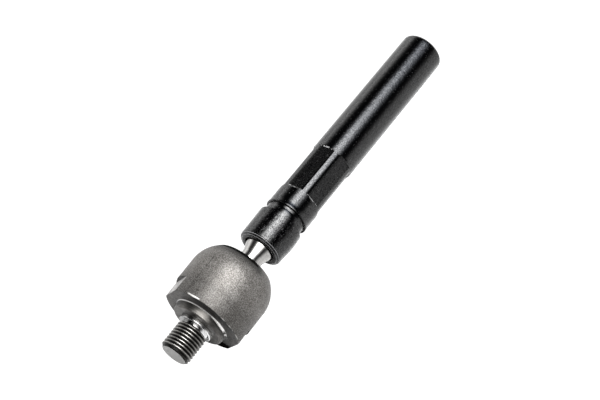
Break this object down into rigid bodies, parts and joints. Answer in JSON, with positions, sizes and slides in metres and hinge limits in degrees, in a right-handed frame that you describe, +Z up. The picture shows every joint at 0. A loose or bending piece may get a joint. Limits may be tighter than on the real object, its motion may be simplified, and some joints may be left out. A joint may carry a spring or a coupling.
{
  "type": "inner tie rod",
  "caption": "Inner tie rod: forged ball-joint housing with a threaded stud, bright ball stud, and a long black threaded sleeve with wrench flats.",
  "frame": {"origin": "on the surface that it lies on, under the middle of the object's box", "axes": "+X from the threaded stud to the sleeve's far end, +Z up"},
  "size_m": [0.192, 0.0378, 0.0376],
  "materials": {
    "forged_steel": "shot-blasted forging, fine grain",
    "race_plastic": "natural acetal",
    "turned_steel": "fine turned, bright",
    "black_finish": "black phosphate under oil, half gloss"
  },
  "bodies": {
    "housing": {"housing": "forged_steel"},
    "bearing": {"ball_race": "race_plastic"},
    "rod": {"ball_stud": "turned_steel", "sleeve": "black_finish"}
  },
  "joints": [
    {"name": "rod_turn", "type": "hinge", "parent": "housing", "child": "bearing", "pos_m": [-0.06112, 0, 0.01882], "axis": [1, 0, 0], "continuous": true},
    {"name": "rod_swing", "type": "hinge", "parent": "bearing", "child": "rod", "pos_m": [-0.06112, 0, 0.01882], "axis": [0, 1, 0], "range_deg": [-28.2, 21.8]}
  ]
}
